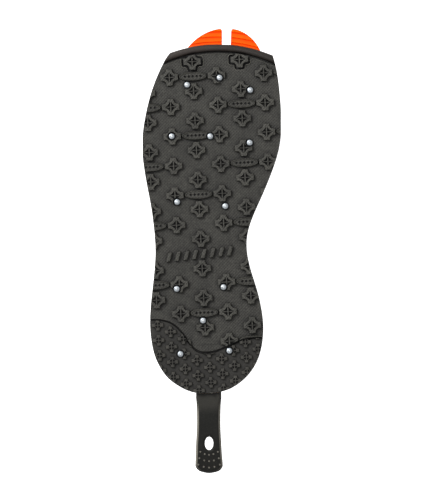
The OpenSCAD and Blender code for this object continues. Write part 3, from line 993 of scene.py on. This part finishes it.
def grip_dots(top, r=0.95):
    """Three curved rows of five round dots behind the buttonhole."""
    slopes = [math.radians(90) * k / 4 for k in range(5)]
    levels = [(r, top - 0.4)] + [(r * math.cos(a) + 0.02, top + 0.5 * math.sin(a) - 0.02) for a in slopes]
    dot = taken(stack("dot", [(ellipse(d, d, 16), z) for d, z in levels]))
    places = [
        (STRAP_X + i * (3.8 + 0.45 * row), HOLE_Y - 10 - 5.6 * row + 0.65 * i * i)
        for row in range(3) for i in range(-2, 3)
    ]
    return field("dots", [(dot, place, 0) for place in places])


def strap_painted_sheen(body, bottom, top, tip):
    """How far each point takes the rim colour: painted highlight on the bevel, most at left; hole rim; dots.
    """
    points = np.array([v.co for v in body.data.vertices]) / MM
    x, y = points[:, 0] - STRAP_X, points[:, 1]
    level = points[:, 2] + drop(y)
    fade = np.clip((STRAP_Y - 6 - y) / 9, 0, 1) * np.clip((y - tip - 2) / 8, 0, 1)
    side = (np.abs(x) > 7) & (level < top - 0.4) & (level > bottom + 0.2)
    hole = (np.hypot(x / 4.6, (y - HOLE_Y) / 6.7) < 1) & (level > top - 1.3) & (x < 1)
    dots = level > top + 0.2
    near_sole = np.clip((y - STRAP_Y + 16) / 8, 0, 1)
    # The bevel's share is painted highlight, stronger on the left where the light comes from
    return near_sole * 0.11 + side * fade * np.where(x < 0, 1, 0.7) + hole * 0.3 + dots * 0.8


def pad(name, node, grooves, pitch=9):
    """A pad under the sole, with rounded grooves across it."""
    a, b = low(node), high(node)
    middle = (a + b)[:2] / 2
    half = (b - a)[:2] / 2
    r = half[1]
    end = np.array([half[0] - r, 0])
    ring = np.vstack([arc(middle + end, r, -90, 90, 20), arc(middle - end, r, 90, 270, 20)])
    body = stack(name, [(offset(ring, d), z) for d, z in (
        (-0.6, a[2]), (-0.2, a[2] + 0.15), (0, a[2] + 0.6), (0, CARRIER_Z - drop(middle[1])),
    )])
    section = [(1.6, a[2] - 1), (1.5, a[2]), (1.35, a[2] + 1.0), (0.9, a[2] + 1.4), (0, a[2] + 1.5)]
    for k in range(grooves):
        x = middle[0] + (k - (grooves - 1) / 2) * pitch
        outline = [(x + d, z) for d, z in section] + [(x - d, z) for d, z in section[-2::-1]]
        n = len(outline)
        groove = Solid()
        groove.points = [(px, y, z) for y in (middle[1] - r - 3, middle[1] + r + 3) for px, z in outline]
        groove.wall(list(range(n)), list(range(n, 2 * n)))
        groove.faces += [tuple(range(n)), tuple(range(n, 2 * n))]
        combine(body, solid_piece("groove", groove), "DIFFERENCE")
    return finished(body, PLUG_RUBBER, 40, bent=False)


def revolved(name, profile, number, material):
    """A turned piece standing square to the carrier at a stud's place; profile is (radius, height) upward."""
    points, faces = taken(stack("turned", [(ellipse(r, r, 40), z) for r, z in profile]))
    slope = stud_lean(number)[0]
    x, y = stud_place(number)
    c, s = math.cos(-slope), math.sin(-slope)
    rise = points[:, 2] - SHEET_Z
    moved = np.c_[
        points[:, 0] + x,
        points[:, 1] * c - rise * s + y,
        points[:, 1] * s + rise * c + SHEET_Z - drop(y),
    ]
    return finished(raw_piece(name, moved, faces), material, 30, bent=False)


def stud(number):
    """A steel stud with a rounded shoulder and a turned ring, and its carbide tip."""
    top = LUG_TOP if number in MAIN_STUDS else HEEL_TOP
    foot = SHEET_Z + 0.05
    head = revolved("steel_stud_" + number, [
        (3.7, foot), (3.85, foot + 0.15), (3.85, foot + 1.0), (3.7, foot + 1.2),
        (SHANK_RADIUS, foot + 1.2), (SHANK_RADIUS, top - 1.0), (2.52, top - 0.65), (2.32, top - 0.35),
        (2.0, top - 0.14), (1.6, top - 0.03), (1.35, top), (1.22, top - 0.1), (1.12, top - 0.12),
    ], number, STEEL)
    tip = revolved("carbide_tip_" + number, [
        (1.1, top - 1.5), (1.1, top + 0.45), (1.02, top + 0.66), (0.84, top + 0.82), (0.5, top + 0.88),
        (0.15, top + 0.9),
    ], number, CARBIDE)
    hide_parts("stud_" + number)
    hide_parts("stud_tip_" + number)
    body = "forefoot" if stud_place(number)[1] > BALL_Y else "rear_sole"
    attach(head, body)
    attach(tip, body)


def glue_line():
    """A thin, uneven line of dried glue along the heel, where the strap comes out."""
    near = [p for p in SOLE if -15 < p[0] < 10 and p[1] < -115]
    near = np.array(sorted(near, key=lambda p: p[0]))
    xs = np.linspace(near[0][0], near[-1][0], 60)
    ys = np.interp(xs, near[:, 0], near[:, 1])
    solid = Solid()
    loops = []
    sides, fade = 8, 8
    turn = np.linspace(0, 2 * math.pi, sides, endpoint=False)
    for i, (x, y) in enumerate(zip(xs, ys)):
        ends = math.sin(math.pi * min(1, (i + 1) / fade, (len(xs) - i) / fade) / 2)
        r = (0.22 + 0.1 * math.sin(i * 0.9) + 0.06 * math.sin(i * 2.3)) * ends + 0.03
        start = len(solid.points)
        solid.points += [
            (x, y + 0.1 + r * math.cos(t), SHEET_Z + 0.05 + 0.8 * r * math.sin(t)) for t in turn
        ]
        loops.append(list(range(start, start + sides)))
    for a, b in zip(loops, loops[1:]):
        solid.wall(a, b)
    solid.faces += [tuple(loops[0]), tuple(loops[-1])]
    return finished(solid_piece("glue_line", solid), GLUE, 60)


# ---------------------------------------------------------------- put it together

rear, front, tail = "rear_sole", "forefoot", "strap"

piece = main_tread()
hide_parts(*TREAD)
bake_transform(piece)

piece = carrier()
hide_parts(*CARRIER)
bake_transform(piece)

piece = heel_tread()
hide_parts("heel_tread")
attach(piece, rear)

piece = tongue()
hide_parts("toe_tongue")
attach(piece, front)

piece = strap()
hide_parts("heel_strap", "strap_anchor")
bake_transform(piece)

piece = glue_line()
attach(piece, rear)

for name, node, grooves, body in (
    ("forefoot_pad", "forefoot_plug", 5, front), ("heel_pad", "heel_plug", 3, rear),
):
    piece = pad(name, node, grooves)
    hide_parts(node)
    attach(piece, body)

for number in STUDS:
    stud(number)

# ---------------------------------------------------------------- studio

FLOOR_Z = -90.0
FLOOR_REACH = 4000
reach = (-FLOOR_REACH, FLOOR_REACH)
floor = slab("studio_floor", reach, reach, (FLOOR_Z - 5, FLOOR_Z), 500)
finished(floor, plain("floor_white", (0.9, 0.9, 0.9, 1), 0.7, 0.9), bent=False)
# The plinth hides under the sole, clear of both hinges' swing
plinth_ring = rounded([(-36, -84), (30, -84), (26, 40), (-36, 40)], 8, 5)
plinth_levels = ((0, FLOOR_Z), (0, -0.6), (-0.6, 0.0))
plinth = stack("floor_plinth", [(offset(plinth_ring, d), z) for d, z in plinth_levels])
finished(plinth, plain("plinth_white", (0.86, 0.86, 0.85, 1), 0.7), bent=False)

world = bpy.data.worlds.new("studio")
bpy.context.scene.world = world
world.use_nodes = True
background = world.node_tree.nodes["Background"]
background.inputs["Color"].default_value = (1, 1, 1, 1)
background.inputs["Strength"].default_value = 0.4


def lamp(name, place, target, size, power):
    light = bpy.data.lights.new(name, "AREA")
    light.shape = "DISK"
    light.size = size
    light.energy = power
    holder = bpy.data.objects.new(name, light)
    holder.location = place
    holder.rotation_euler = (Vector(target) - Vector(place)).to_track_quat("-Z", "Y").to_euler()
    holder.visible_camera = False
    bpy.context.scene.collection.objects.link(holder)


lamp("key", (-1.1, 1.0, 1.5), (0, 0.02, 0), 0.9, 36)
lamp("overhead", (0, 0, 2.3), (0, 0, 0), 1.6, 8)

# The camera looks straight down and sees VIEW_HEIGHT metres, top to bottom, at the lugs' height of VIEW_Z
VIEW_HEIGHT = 0.4284
VIEW_Z = 0.011
FOCAL, SENSOR = 400, 36
lens = bpy.data.cameras.new("camera")
lens.lens = FOCAL
lens.sensor_width = SENSOR
lens.clip_end = 20
camera = bpy.data.objects.new("camera", lens)
camera.location = (0.00284, 0.00486, VIEW_HEIGHT * FOCAL / SENSOR + VIEW_Z)
bpy.context.scene.collection.objects.link(camera)
bpy.context.scene.camera = camera

bpy.context.scene.view_settings.view_transform = "Standard"
